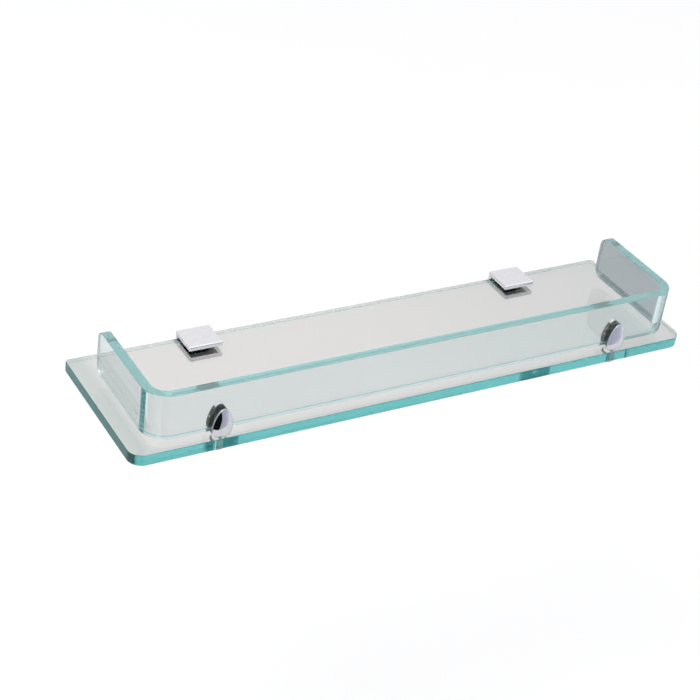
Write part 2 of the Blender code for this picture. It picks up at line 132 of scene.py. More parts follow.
@dataclass
class Skin:
    """A surface being gathered from grids and caps, each point with its normal and its marks."""

    marks: tuple[str, ...] = ()
    points: list[Array] = field(default_factory=list)
    normals: list[Array] = field(default_factory=list)
    values: list[Array] = field(default_factory=list)
    faces: list[list[int]] = field(default_factory=list)

    def count(self) -> int:
        """Gives the number of points so far."""
        return sum(len(part) for part in self.points)

    def add(self, points: Array, normals: Array, faces: NDArray, marks: Array | None = None) -> None:
        """Adds one part of the surface.

        Args:
            points: Points, any shape that ends in three.
            normals: The outward normal at each point, in the same shape.
            faces: Faces as point numbers within this part.
            marks: One value per point and mark name, or None for zeros.
        """
        flat = points.reshape(-1, 3)
        start = self.count()
        self.points.append(flat)
        self.normals.append(normals.reshape(-1, 3))
        if marks is None:
            marks = np.zeros((len(flat), len(self.marks)))
        self.values.append(marks.reshape(len(flat), len(self.marks)))
        self.faces.extend((np.asarray(faces) + start).tolist())

    def mesh(self, name: str, merge: float = 1e-7) -> Mesh:
        """Makes the mesh: points that meet become one, faces point out, normals are kept as given.

        Args:
            name: The mesh's name.
            merge: Points nearer than this become one.

        Returns:
            The closed mesh.
        """
        mesh = bpy.data.meshes.new(name)
        mesh.from_pydata(np.concatenate(self.points).tolist(), [], self.faces)
        layer = mesh.attributes.new("true_normal", "FLOAT_VECTOR", "POINT")
        layer.data.foreach_set("vector", np.concatenate(self.normals).ravel())
        values = np.concatenate(self.values)
        for index, mark in enumerate(self.marks):
            layer = mesh.attributes.new(mark, "FLOAT", "POINT")
            layer.data.foreach_set("value", values[:, index].astype(np.float32))
        work = bmesh.new()
        work.from_mesh(mesh)
        bmesh.ops.remove_doubles(work, verts=work.verts, dist=merge)
        bmesh.ops.recalc_face_normals(work, faces=work.faces)
        work.to_mesh(mesh)
        work.free()
        mesh.shade_smooth()
        normals = np.empty(len(mesh.vertices) * 3)
        mesh.attributes["true_normal"].data.foreach_get("vector", normals)
        mesh.normals_split_custom_set_from_vertices(normals.reshape(-1, 3).tolist())
        mesh.attributes.remove(mesh.attributes["true_normal"])
        return mesh


def plain_mesh(name: str, points: Array, faces: list[list[int]], smooth_angle: float = 35.0) -> Mesh:
    """Makes a mesh whose normals come from its faces, with sharp edges past an angle.

    Args:
        name: The mesh's name.
        points: Points, any shape that ends in three.
        faces: Faces as point numbers.
        smooth_angle: Edges sharper than this many degrees stay crisp.

    Returns:
        The closed mesh.
    """
    mesh = bpy.data.meshes.new(name)
    mesh.from_pydata(points.reshape(-1, 3).tolist(), [], faces)
    work = bmesh.new()
    work.from_mesh(mesh)
    bmesh.ops.remove_doubles(work, verts=work.verts, dist=1e-7)
    bmesh.ops.recalc_face_normals(work, faces=work.faces)
    work.to_mesh(mesh)
    work.free()
    mesh.shade_smooth()
    mesh.set_sharp_from_angle(angle=np.radians(smooth_angle))
    return mesh


def place(name: str, mesh: Mesh, material: Material) -> Piece:
    """Puts a finished mesh in the scene at the origin, with its material."""
    thing = bpy.data.objects.new(name, mesh)
    mesh.materials.clear()
    mesh.materials.append(material)
    bpy.context.scene.collection.objects.link(thing)
    return thing


def stand_for(node: str, name: str, mesh: Mesh, material: Material) -> Piece:
    """Places a piece that rides on the body and stands for one frame node, whose own part it hides."""
    piece = place(name, mesh, material)
    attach(piece, "root")
    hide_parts(node)
    return piece


def arc_points(centre: tuple[float, float], radius: float, start: float, end: float, steps: int) -> Array:
    """Points on an arc: the centre plus radius times (cos, sin) of even angles in degrees."""
    angle = np.radians(spaced(start, end, steps))
    return np.stack([centre[0] + radius * np.cos(angle), centre[1] + radius * np.sin(angle)], -1)


def circle(centre: tuple[float, float], radius: float, count: int = 48) -> Array:
    """Even points round a full circle."""
    return arc_points(centre, radius, 0, 360 - 360 / count, count - 1)


def rounded_loop(low: Array, high: Array, radii: tuple[float, ...], steps: int) -> tuple[Array, Array]:
    """A rectangle with a radius at each corner, and the outward direction at each of its points.

    Each corner is an arc about a centre one radius in from both sides. The outward direction on an arc
    is the arc's own (cos, sin), which meets the sides' directions at the arc's ends.

    Args:
        low: Lowest corner, two values.
        high: Highest corner, two values.
        radii: Radii at low low, high low, high high and low high.
        steps: Steps in each arc.

    Returns:
        The points and the outward directions, both in order round the loop.
    """
    places = [(low[0], low[1], 180), (high[0], low[1], 270), (high[0], high[1], 0), (low[0], high[1], 90)]
    points, outward = [], []
    for (a, b, start), radius in zip(places, radii):
        centre = (a + radius if a == low[0] else a - radius, b + radius if b == low[1] else b - radius)
        points.append(arc_points(centre, radius, start, start + 90, steps))
        outward.append(arc_points((0, 0), 1, start, start + 90, steps))
    return np.concatenate(points), np.concatenate(outward)


def edge_band(loop: Array, outward: Array, half: float, arris: float, steps: int = 4) -> tuple[Array, Array]:
    """The polished edge of a sheet: a profile carried round a loop.

    The profile starts on the upper face, turns through a quarter circle of radius arris, runs down
    the edge and turns onto the lower face. With t from 0 to 90 degrees the point is loop + outward *
    arris * sin(t) and height half - arris * (1 - cos(t)), with normal (outward * sin(t), cos(t)).

    Args:
        loop: The upper face's outline, points of two.
        outward: Direction out of the glass at each point.
        half: Half the sheet's thickness.
        arris: Radius of the broken edge.
        steps: Steps in each quarter circle.

    Returns:
        Points and normals, arrays of loop points by profile points by three.
    """
    turn = np.radians(spaced(0, 90, steps))
    out = np.concatenate([arris * np.sin(turn), arris * np.sin(turn[::-1])])
    drop = arris * (1 - np.cos(turn))
    height = np.concatenate([half - drop, drop[::-1] - half])
    slant = np.concatenate([np.sin(turn), np.sin(turn[::-1])])
    rise = np.concatenate([np.cos(turn), -np.cos(turn[::-1])])
    flat = loop[:, None, :] + outward[:, None, :] * out[None, :, None]
    points = np.concatenate([flat, np.broadcast_to(height[None, :, None], flat.shape[:2] + (1,))], -1)
    lean = outward[:, None, :] * slant[None, :, None]
    normals = np.concatenate([lean, np.broadcast_to(rise[None, :, None], lean.shape[:2] + (1,))], -1)
    return points, normals


def add_caps(skin: Skin, loops: list[Array], half: float) -> None:
    """Closes a sheet with flat faces at half and -half, inside the first loop and outside the others."""
    triangles = np.array(tessellate_polygon([[Vector((*point, 0)) for point in line] for line in loops]))
    flat = np.concatenate(loops)
    for level in (half, -half):
        face = np.column_stack([flat, np.full(len(flat), level)])
        normal = np.tile([0, 0, np.sign(level)], (len(flat), 1))
        skin.add(face, normal, triangles if level > 0 else triangles[:, ::-1])


def turned(profile: Array, segments: int, closed: bool) -> tuple[Array, list[list[int]]]:
    """A turned piece: a profile carried round an axis.

    The point at angle a is (r * cos(a), r * sin(a), h). Where the profile's third value is 1, r is
    the distance to a hexagon, apothem / cos(a - nearest flat), so a key socket is part of the surface.

    Args:
        profile: Radius, height and hexagon share, one row each.
        segments: Points round the axis, a multiple of six where there is a hexagon.
        closed: Whether the profile's last point joins its first, as on a ring.

    Returns:
        Points, and faces as point numbers.
    """
    angle = np.arange(segments) * TURN / segments
    flat = np.mod(angle, TURN / 6) - TURN / 12
    radius, height, share = profile[:, 0, None], profile[:, 1, None], profile[:, 2, None]
    reach = radius * (1 - share + share / np.cos(flat)[None, :])
    x = reach * np.cos(angle)[None, :]
    y = reach * np.sin(angle)[None, :]
    z = np.broadcast_to(height, x.shape)
    faces = grid_faces(len(profile), segments, wrap_rows=closed, wrap_columns=True)
    return np.stack([x, y, z], -1), faces.tolist()


def set_along(points: Array, axis: Axis, origin: Array) -> Array:
    """Turns points about +Z so that their axis points the given way, and moves them to an origin."""
    x, y, z = points[..., 0], points[..., 1], points[..., 2]
    ways = {Axis.UP: (x, y, z), Axis.BACK: (x, z, -y)}
    return np.stack(ways[axis], -1) + origin


def plain_profile(rings: list[tuple[float, float]] | Array) -> Array:
    """A profile with no hexagon in it, from radii and heights."""
    return np.column_stack([np.array(rings, float), np.zeros(len(rings))])


def ring_profile(outer: float, inner: float, low: float, high: float, edge: float, steps: int = 3) -> Array:
    """The closed section of a washer or sleeve: a rectangle with small quarter circles at its corners."""
    loop, _ = rounded_loop(np.array([inner, low]), np.array([outer, high]), (edge,) * 4, steps)
    return plain_profile(loop)


def mark_radius(mesh: Mesh, axis: Axis, origin: Array) -> None:
    """Writes each point's distance from the piece's own axis, in millimetres, as 'radius'."""
    places = np.empty(len(mesh.vertices) * 3)
    mesh.vertices.foreach_get("co", places)
    away = places.reshape(-1, 3) - origin
    across = away[:, [0, 2]] if axis is Axis.BACK else away[:, [0, 1]]
    layer = mesh.attributes.new("radius", "FLOAT", "POINT")
    layer.data.foreach_set("value", (np.linalg.norm(across, axis=1) / MM).astype(np.float32))


def carve(name: str, base: Mesh, cuts: list[Mesh], adds: list[Mesh],
          bevel: float, bevel_angle: float = 40.0) -> Mesh:
    """Cuts and joins solids exactly, rounds the edges that are left and returns the mesh that results.

    Args:
        name: The new mesh's name.
        base: The solid to start from.
        cuts: Solids to take away.
        adds: Solids to join on, after the first cut.
        bevel: Width of the rounded edges.
        bevel_angle: Edges sharper than this many degrees are rounded.

    Returns:
        A new mesh with nothing live on it.
    """
    scene = bpy.context.scene
    whole = bpy.data.objects.new(name, base)
    scene.collection.objects.link(whole)
    helpers = []
    steps = [("DIFFERENCE", cuts[0])] + [("UNION", add) for add in adds]
    steps += [("DIFFERENCE", cut) for cut in cuts[1:]]
    for operation, mesh in steps:
        helper = bpy.data.objects.new(mesh.name, mesh)
        scene.collection.objects.link(helper)
        helpers.append(helper)
        modifier = whole.modifiers.new(mesh.name, "BOOLEAN")
        modifier.operation = operation
        modifier.solver = "EXACT"
        modifier.object = helper
    weld = whole.modifiers.new("weld", "WELD")
    weld.merge_threshold = 0.00002
    rounding = whole.modifiers.new("edges", "BEVEL")
    rounding.width = bevel
    rounding.segments = 3
    rounding.limit_method = "ANGLE"
    rounding.angle_limit = np.radians(bevel_angle)
    rounding.use_clamp_overlap = True
    rounding.miter_outer = "MITER_ARC"
    even = whole.modifiers.new("even", "WEIGHTED_NORMAL")
    even.keep_sharp = True
    bpy.context.view_layer.update()
    graph = bpy.context.evaluated_depsgraph_get()
    result = bpy.data.meshes.new_from_object(whole.evaluated_get(graph), depsgraph=graph)
    result.name = name
    for helper in helpers + [whole]:
        bpy.data.objects.remove(helper, do_unlink=True)
    return result


def prism(name: str, outline: Array, axis: str, low: float, high: float) -> Mesh:
    """A straight solid: an outline carried along one axis.

    Args:
        name: The mesh's name.
        outline: Points of two, on the other two axes in XYZ order.
        axis: "X", "Y" or "Z".
        low: Where it starts on the axis.
        high: Where it ends.

    Returns:
        The closed mesh.
    """
    count = len(outline)
    ends = []
    for level in (low, high):
        along = np.full(count, level)
        a, b = outline[:, 0], outline[:, 1]
        ends.append(np.stack({"X": (along, a, b), "Y": (a, along, b), "Z": (a, b, along)}[axis], -1))
    faces = grid_faces(2, count, wrap_columns=True).tolist()
    faces += [list(range(count)), list(range(2 * count - 1, count - 1, -1))]
    return plain_mesh(name, np.stack(ends), faces)


def face_centres(mesh: Mesh) -> Array:
    """Gives the middle of every face of a mesh."""
    centres = np.empty(len(mesh.polygons) * 3)
    mesh.polygons.foreach_get("center", centres)
    return centres.reshape(-1, 3)


def mark_faces(mesh: Mesh, name: str, chosen: NDArray) -> None:
    """Writes a value of 1 on chosen faces and 0 on the others."""
    layer = mesh.attributes.new(name, "FLOAT", "FACE")
    layer.data.foreach_set("value", chosen.astype(np.float32))


# ---------------------------------------------------------------- finishes


@dataclass(frozen=True)
class Nodes:
    """A node tree being filled, with short calls for the nodes that the finishes share."""

    tree: bpy.types.NodeTree

    def feed(self, socket: Socket, value: object) -> None:
        """Links a socket to another one, or sets its own value; a colour gets an alpha of 1."""
        if isinstance(value, Socket):
            self.tree.links.new(value, socket)
        else:
            socket.default_value = (*value, 1.0) if socket.type == "RGBA" else value

    def add(self, kind: str, inputs: dict[str | int, object], **settings: str) -> bpy.types.Node:
        """Adds a node.

        Args:
            kind: The node's type, without its "ShaderNode".
            inputs: A value or another node's socket for each input, by name or number.
            settings: The node's own settings.

        Returns:
            The node.
        """
        node = self.tree.nodes.new(f"ShaderNode{kind}")
        for name, value in settings.items():
            setattr(node, name, value)
        for key, value in inputs.items():
            self.feed(node.inputs[key], value)
        return node

    def shade(self, inputs: dict[str, object]) -> None:
        """Feeds inputs of the Principled shader, each a value or a socket."""
        shader = self.tree.nodes["Principled BSDF"]
        for name, value in inputs.items():
            self.feed(shader.inputs[name], value)

    def axis(self, name: str, kind: str = "Object") -> Socket:
        """Reads one axis of the surface's coordinates."""
        where = self.add("TexCoord", {}).outputs[kind]
        return self.add("SeparateXYZ", {"Vector": where}).outputs[name]

    def noise(self, scale: float, detail: float = 3.0) -> Socket:
        """Noise on Object coordinates, with so many waves to the metre and so many octaves."""
        where = self.add("TexCoord", {}).outputs["Object"]
        return self.add("TexNoise", {"Vector": where, "Scale": scale, "Detail": detail}).outputs["Fac"]

    def between(self, value: Socket, low: float = 0.0, high: float = 1.0, start: float = 0.3,
                end: float = 0.7) -> Socket:
        """Maps a value from start to end onto low to high, held at the ends."""
        ranges = {"Value": value, "From Min": start, "From Max": end, "To Min": low, "To Max": high}
        return self.add("MapRange", ranges).outputs["Result"]

    def mix(self, share: Socket, first: object, second: object) -> Socket:
        """Mixes two colours, each a colour or a socket, by a share."""
        node = self.add("Mix", {"Factor": share}, data_type="RGBA")
        for name, colour in (("A", first), ("B", second)):
            self.feed(next(s for s in node.inputs if s.name == name and s.type == "RGBA"), colour)
        return next(s for s in node.outputs if s.type == "RGBA")

    def mark(self, name: str) -> Socket:
        """Reads one of the mesh's own marks."""
        return self.add("Attribute", {}, attribute_name=name).outputs["Fac"]

    def plus(self, first: Socket, second: Socket, share: float) -> Socket:
        """Adds a share of the second value to the first."""
        return self.add("Math", {0: second, 1: share, 2: first}, operation="MULTIPLY_ADD").outputs["Value"]

    def bump(self, height: Socket, strength: float, distance: float) -> Socket:
        """Makes a normal that follows a height."""
        heights = {"Height": height, "Strength": strength, "Distance": distance}
        return self.add("Bump", heights).outputs["Normal"]


def scaled(colour: Colour, gain: float) -> Colour:
    """Multiplies a colour."""
    return tuple(part * gain for part in colour)


def lowered(colour: Colour, step: float) -> Colour:
    """Takes a step off each part of a colour."""
    return tuple(part - step for part in colour)


@dataclass(frozen=True)
class Finish:
    """A material, made by filling a new node tree."""

    name: str

    def make(self) -> Material:
        """Makes the material."""
        material = bpy.data.materials.new(self.name)
        material.use_nodes = True
        self.fill(Nodes(material.node_tree))
        return material

    def fill(self, nodes: Nodes) -> None:
        """Fills the node tree; each finish has its own way."""
        raise NotImplementedError


@dataclass(frozen=True)
class ClearGlass(Finish):
    """Float glass: tinted through its faces, green-blue along its length, polished edges."""

    name: str = "clear_float_glass"
    ior: float = 1.52
    absorbed: Colour = (0.24, 0.77, 0.77)
    density: float = 10.0
    face_tint: Colour = (0.788, 0.729, 0.713)
    # Grey tint that paints shade where the 'shade' mark is set.
    painted_shade_tint: Colour = (0.42, 0.43, 0.445)
    edge_tint: Colour = (0.56, 0.84, 0.83)
    # Colour of painted shade in the plate's border outside the guard.
    border_painted_shade: Colour = (0.63, 0.635, 0.615)
    # Darker colour towards the plate's right end.
    right_end_darker: Colour = (0.69, 0.655, 0.64)
    haze: float = 0.012
    smear: float = 0.02
    edge_roughness: float = 0.06
    frosting: float = 0.75

    def fill(self, nodes: Nodes) -> None:
        """Builds the glass. Marks: 'edge' on its edges, 'frost' on dull ones, 'shade' where painted shade
        darkens it.
        """
        edge = nodes.mark("edge")
        hazy = nodes.between(nodes.noise(9.0, 4.0))
        clean = self.fade(nodes, nodes.mix(hazy, self.face_tint, lowered(self.face_tint, self.haze)))
        # Painted shade: the 'shade' mark darkens the colour towards a grey tint.
        colour = nodes.mix(nodes.mark("shade"), clean, self.painted_shade_tint)
        smeared = nodes.between(nodes.noise(35.0, 5.0), 0.0, self.smear, 0.45, 0.75)
        nodes.shade({
            "Base Color": nodes.mix(edge, colour, self.edge_tint),
            "Roughness": nodes.plus(smeared, edge, self.edge_roughness),
            "Transmission Weight": nodes.between(nodes.mark("frost"), 1.0, 1.0 - self.frosting, 0.0, 1.0),
            "IOR": self.ior,
        })
        volume = nodes.add("VolumeAbsorption", {"Color": self.absorbed, "Density": self.density})
        nodes.feed(nodes.tree.nodes["Material Output"].inputs["Volume"], volume.outputs["Volume"])

    def fade(self, nodes: Nodes, clean: Socket) -> Socket:
        """Leaves the faces' tint as it is; the plate's own glass changes it by place."""
        return clean


@dataclass(frozen=True)
class PlateGlass(ClearGlass):
    """The plate's glass: painted shade darkens it outside the guard, and it is darker towards its right end.
    """

    name: str = "clear_plate_glass"
    tray_left: float = -0.245
    tray_right: float = 0.245
    tray_front: float = -0.136
    soft: float = 5 * MM

    def fade(self, nodes: Nodes, clean: Socket) -> Socket:
        """Darkens the colour by place: towards +X along the tray, and with painted shade in the border round
        the guard.
        """
        far = nodes.between(nodes.axis("X"), 0, 1, 0.0, self.tray_right)
        colour = nodes.mix(far, clean, self.right_end_darker)
        for axis, border in (("Y", self.tray_front), ("X", self.tray_left)):
            # Painted shade in the border outside the guard.
            beyond = nodes.between(nodes.axis(axis), 0, 1, border + self.soft, border - self.soft)
            colour = nodes.mix(beyond, colour, self.border_painted_shade)
        return colour


@dataclass(frozen=True)
class Chrome(Finish):
    """Bright chrome plating: mirror outside, dark unplated casting in hidden places, and the same dark colour
    as painted shade in slots, under jaws and on the clip's rear jaw sides.
    """

    name: str = "bright_chrome"
    plated: Colour = (0.86, 0.86, 0.88)
    # Dark casting colour, used for hidden unplated casting and for painted shade.
    casting: Colour = (0.13, 0.15, 0.12)
    casting_light: Colour = (0.62, 0.54, 0.40)
    casting_roughness: float = 0.38

    def fill(self, nodes: Nodes) -> None:
        """Builds the plating, its faint waves, and the dark cast metal that also serves as painted shade."""
        # Mark covering hidden unplated casting and painted shade in recesses and on jaw sides.
        raw_and_painted_shade = nodes.mark("raw_and_painted_shade")
        cloud = nodes.between(nodes.noise(260.0, 2.0), 0, 1, 0.35, 0.65)
        spots = nodes.between(nodes.noise(330.0), 0, 1, 0.50, 0.62)
        bright = nodes.mix(cloud, self.plated, scaled(self.plated, 0.96))
        dull = nodes.mix(spots, self.casting, self.casting_light)
        wear = nodes.between(nodes.noise(420.0, 4.0), 0.025, 0.06)
        nodes.shade({
            "Base Color": nodes.mix(raw_and_painted_shade, bright, dull),
            "Roughness": nodes.plus(wear, raw_and_painted_shade, self.casting_roughness),
            "Metallic": 1.0,
            "Normal": nodes.bump(nodes.noise(160.0, 1.0), 0.02, 0.2 * MM),
        })


@dataclass(frozen=True)
class Steel(Finish):
    """Plain stainless steel with the rings that turning leaves, from the 'radius' mark."""

    name: str = "turned_steel"
    colour: Colour = (0.50, 0.505, 0.51)
    ring_rate: float = 42.0

    def fill(self, nodes: Nodes) -> None:
        """Builds the steel: rings in the bump, cloudy roughness and colour."""
        cloud = nodes.between(nodes.noise(700.0))
        turns = nodes.add("Math", {0: nodes.mark("radius"), 1: self.ring_rate}, operation="MULTIPLY")
        rings = nodes.add("Math", {0: turns.outputs["Value"]}, operation="SINE")
        nodes.shade({
            "Base Color": nodes.mix(cloud, self.colour, scaled(self.colour, 0.80)),
            "Roughness": nodes.between(nodes.noise(900.0), 0.22, 0.36),
            "Metallic": 1.0,
            "Normal": nodes.bump(rings.outputs["Value"], 0.12, 0.05 * MM),
        })


@dataclass(frozen=True)
class Nylon(Finish):
    """Natural nylon: milky, slightly rough, with a faint moulded texture."""

    name: str = "natural_nylon"
    colour: Colour = (0.78, 0.80, 0.80)

    def fill(self, nodes: Nodes) -> None:
        """Builds the nylon."""
        cloud = nodes.between(nodes.noise(450.0))
        nodes.shade({
            "Base Color": nodes.mix(cloud, self.colour, scaled(self.colour, 1.12)),
            "Roughness": nodes.between(nodes.noise(800.0), 0.32, 0.48),
            "Transmission Weight": 0.25,
            "IOR": 1.53,
            "Normal": nodes.bump(nodes.noise(1800.0, 2.0), 0.15, 0.05 * MM),
        })


@dataclass(frozen=True)
class Vinyl(Finish):
    """Soft clear vinyl for the liners and pads that touch the glass."""

    name: str = "clear_vinyl"
    colour: Colour = (0.86, 0.92, 0.92)

    def fill(self, nodes: Nodes) -> None:
        """Builds the vinyl: see-through, a little cloudy and dull."""
        cloud = nodes.between(nodes.noise(380.0))
        nodes.shade({
            "Base Color": nodes.mix(cloud, self.colour, scaled(self.colour, 0.93)),
            "Roughness": nodes.between(nodes.noise(650.0), 0.10, 0.22),
            "Transmission Weight": 0.95,
            "IOR": 1.45,
        })


@dataclass(frozen=True)
class Rubber(Finish):
    """Matt black rubber with a fine grain."""

    name: str = "black_rubber"
    colour: Colour = (0.022, 0.022, 0.024)
    dust: Colour = (0.06, 0.06, 0.06)

    def fill(self, nodes: Nodes) -> None:
        """Builds the rubber."""
        dusty = nodes.between(nodes.noise(600.0, 4.0), 0, 1, 0.5, 0.75)
        nodes.shade({
            "Base Color": nodes.mix(dusty, self.colour, self.dust),
            "Roughness": nodes.between(nodes.noise(900.0), 0.55, 0.75),
            "Normal": nodes.bump(nodes.noise(2600.0, 2.0), 0.3, 0.08 * MM),
        })


@dataclass(frozen=True)
class PaleFloor(Finish):
    """Plain pale studio floor."""

    name: str = "pale_floor"
    colour: Colour = (0.93, 0.93, 0.93)

    def fill(self, nodes: Nodes) -> None:
        """Builds the floor's paint, with a very faint cloudiness."""
        cloud = nodes.between(nodes.noise(1.5))
        nodes.shade({
            "Base Color": nodes.mix(cloud, self.colour, lowered(self.colour, 0.006)),
            "Roughness": 0.9,
            "Specular IOR Level": 0.0,
        })


@dataclass
class Finishes:
    """All the finishes, made once and shared."""

    plate_glass: Material = field(default_factory=lambda: PlateGlass().make())
    guard_glass: Material = field(default_factory=lambda: ClearGlass(
        name="clear_bent_glass", density=16.0, face_tint=(0.985, 0.975, 0.973),
        edge_tint=(0.55, 0.78, 0.77)).make())
    chrome: Material = field(default_factory=lambda: Chrome().make())
    steel: Material = field(default_factory=lambda: Steel().make())
    nylon: Material = field(default_factory=lambda: Nylon().make())
    vinyl: Material = field(default_factory=lambda: Vinyl().make())
    rubber: Material = field(default_factory=lambda: Rubber().make())


# ---------------------------------------------------------------- glass


@dataclass
class ShelfPlate:
    """The glass plate: a flat sheet with rounded corners and a hole for each guard clip."""

    finishes: Finishes
    front_radius: float = 12 * MM
    rear_radius: float = 3 * MM
    arris: float = 0.5 * MM
    side_frost: float = 0.25
    back_frost: float = 0.2
    hole_radius: float = 5.25 * MM
    hole_arris: float = 0.25 * MM

    def hole_centres(self) -> list[tuple[float, float]]:
        """Gives the middle of each clip sleeve, where the plate's holes are."""
        centres = []
        for side in Side:
            low, high = box_of(f"clip_sleeve_{side.value}")
            middle = (low + high) / 2
            centres.append((middle[0], middle[1]))
        return centres

    def build(self) -> Piece:
        """Builds the plate: two flat faces, a polished edge band and a band in each hole."""
        low, high = box_of("shelf_plate")
        half = (high[2] - low[2]) / 2
        middle = (high[2] + low[2]) / 2
        radii = (self.front_radius,) * 2 + (self.rear_radius,) * 2
        inner = tuple(radius - self.arris for radius in radii)
        loop, outward = rounded_loop(low[:2] + self.arris, high[:2] - self.arris, inner, 24)
        loops = [(loop, outward, self.arris)]
        for centre in self.hole_centres():
            rim = circle(centre, self.hole_radius + self.hole_arris)
            inward = -circle((0, 0), 1)
            loops.append((rim, inward, self.hole_arris))
        skin = Skin(marks=("edge", "shade", "frost"))
        for line, away, arris in loops:
            points, normals = edge_band(line, away, half, arris)
            marks = np.zeros(points.shape[:2] + (3,))
            marks[:, 1:-1, 0] = 1.0
            if line is loop:
                side, back = np.clip(away[:, 0], 0, 1), np.clip(away[:, 1], 0, 1)
                marks[:, 1:-1, 2] = (self.side_frost * side**2 + self.back_frost * back**2)[:, None]
            faces = grid_faces(*points.shape[:2], wrap_rows=True)
            skin.add(points, normals, faces, marks)
        add_caps(skin, [line for line, _, _ in loops], half)
        mesh = skin.mesh("plate_glass")
        mesh.transform(Matrix.Translation((0, 0, middle)))
        return stand_for("shelf_plate", "plate_glass", mesh, self.finishes.plate_glass)


@dataclass
class GuardRail:
    """The bent glass guard: one strip that runs from the left return, round the front, to the right."""

    finishes: Finishes
    thickness: float = 8 * MM
    bend: float = 21 * MM
    corner: float = 9 * MM
    arris: float = 0.5 * MM
    bend_steps: int = 30
    corner_steps: int = 14
    # Painted shade on the returns: its strength on the left, and where it starts and fades in.
    left_painted_shade: float = 0.28
    right_start: float = 0.72
    right_run: float = 0.5
    left_end: float = 0.7
    left_run: float = 0.6
    top_frost: float = 0.27
    bottom_frost: float = 0.5
    low: Array = field(init=False)
    high: Array = field(init=False)

    def __post_init__(self) -> None:
        """Reads the guard's box from the frame."""
        self.low, self.high = box_of("guard_rail")

    def lengths(self) -> tuple[float, float, float]:
        """Gives the lengths, on the strip's middle line, of a return, a bend and the front."""
        back = (self.high[1] - self.low[1]) - self.bend
        curve = (self.bend - self.thickness / 2) * np.pi / 2
        front = (self.high[0] - self.low[0]) - 2 * self.bend
        return back, curve, front

    def bent(self, along: Array, out: Array, normal: bool = False) -> Array:
        """Bends the flat strip into its plan, a U that opens to the wall.

        The middle line runs straight forward, turns a quarter circle, crosses the front, turns again
        and runs straight back. A point lies at out from that line, away from the tray.

        Args:
            along: Distance along the middle line from the left return's rear end.
            out: Distance out from the middle line; for a direction, its outward part.
            normal: Whether along's direction alone is wanted, as the frame of two unit vectors.

        Returns:
            Points in X and Y, or the unit vectors along and out, stacked.
        """
        back, curve, front = self.lengths()
        middle = self.bend - self.thickness / 2
        starts = np.cumsum([0, back, curve, front, curve])
        left_turn = np.clip((along - starts[1]) / curve, 0, 1) * np.pi / 2
        right_turn = np.clip((along - starts[3]) / curve, 0, 1) * np.pi / 2
        heading = left_turn + right_turn
        forward = np.stack([np.sin(heading), -np.cos(heading)], -1)
        outward = np.stack([-np.cos(heading), -np.sin(heading)], -1)
        if normal:
            return np.stack([forward, outward])
        x = self.low[0] + self.bend - middle * np.cos(left_turn)
        x = x + np.clip(along - starts[2], 0, front) + middle * np.sin(right_turn)
        y = self.high[1] - np.clip(along, 0, back) - middle * np.sin(left_turn)
        y = y + middle * (1 - np.cos(right_turn)) + np.clip(along - starts[4], 0, None)
        return np.stack([x, y], -1) + outward * out[..., None]

    def columns(self) -> Array:
        """Places of the grid's columns: close together in the rounded ends and the bends."""
        back, curve, front = self.lengths()
        radius = self.corner - self.arris
        turn = np.radians(spaced(0, 90, self.corner_steps))
        end = self.arris + radius * (1 - np.cos(turn))
        starts = np.cumsum([0, back, curve, front, curve, back])
        parts = [end, spaced(self.corner, back, 3)[1:], starts[1] + spaced(0, curve, self.bend_steps)[1:]]
        parts += [starts[2] + spaced(0, front, 12)[1:], starts[3] + spaced(0, curve, self.bend_steps)[1:]]
        parts += [starts[4] + spaced(0, back - self.corner, 3)[1:], (starts[5] - end)[::-1][1:]]
        return np.concatenate(parts)

    def shade(self, along: Array) -> Array:
        """How much painted shade darkens the strip: nothing at the front, some on the left return, more on the
        right.
        """
        back, curve, front = self.lengths()
        total = 2 * (back + curve) + front
        right = self.ease((along - (total - back - self.right_start * curve)) / (self.right_run * curve))
        left = self.ease((back + self.left_end * curve - along) / (self.left_run * curve))
        return right + self.left_painted_shade * left

    @staticmethod
    def ease(value: Array) -> Array:
        """Goes smoothly from 0 to 1: v * v * (3 - 2 * v) of the value held between 0 and 1."""
        held = np.clip(value, 0, 1)
        return held * held * (3 - 2 * held)

    def build(self) -> Piece:
        """Builds the guard: two grids of the bent strip, closed by one polished edge band."""
        columns = self.columns()
        height = self.high[2] - self.low[2]
        radius = self.corner - self.arris
        total = columns[-1] + self.arris
        near = np.minimum(columns, total - columns) - self.arris
        dip = radius - np.sqrt(np.clip(radius**2 - np.clip(radius - near, 0, None) ** 2, 0, None))
        share = spaced(0, 1, 6)
        low, high = self.arris + dip, height - self.arris - dip
        up = low[:, None] + (high - low)[:, None] * share[None, :]
        across = np.broadcast_to(columns[:, None], up.shape)
        flat = np.stack([across, up], -1)
        skin = Skin(marks=("edge", "shade", "frost"))
        faces = grid_faces(*up.shape)
        half = self.thickness / 2
        for level in (half, -half):
            sheet = np.full(up.shape, level)
            self.add(skin, flat, sheet, np.zeros(flat.shape), np.full(up.shape, np.sign(level)), faces, 0.0)
        loop = np.concatenate([flat[:, 0], flat[-1, 1:], flat[-2::-1, -1], flat[0, -2:0:-1]])
        centre = np.stack([
            np.clip(loop[:, 0], self.corner, total - self.corner),
            np.clip(loop[:, 1], self.corner, height - self.corner),
        ], -1)
        away = loop - centre
        outward = away / np.linalg.norm(away, axis=1, keepdims=True)
        points, normals = edge_band(loop, outward, half, self.arris)
        band = grid_faces(*points.shape[:2], wrap_rows=True)
        self.add(skin, points[..., :2], points[..., 2], normals[..., :2], normals[..., 2], band, 1.0)
        mesh = skin.mesh("guard_glass")
        return stand_for("guard_rail", "guard_glass", mesh, self.finishes.guard_glass)

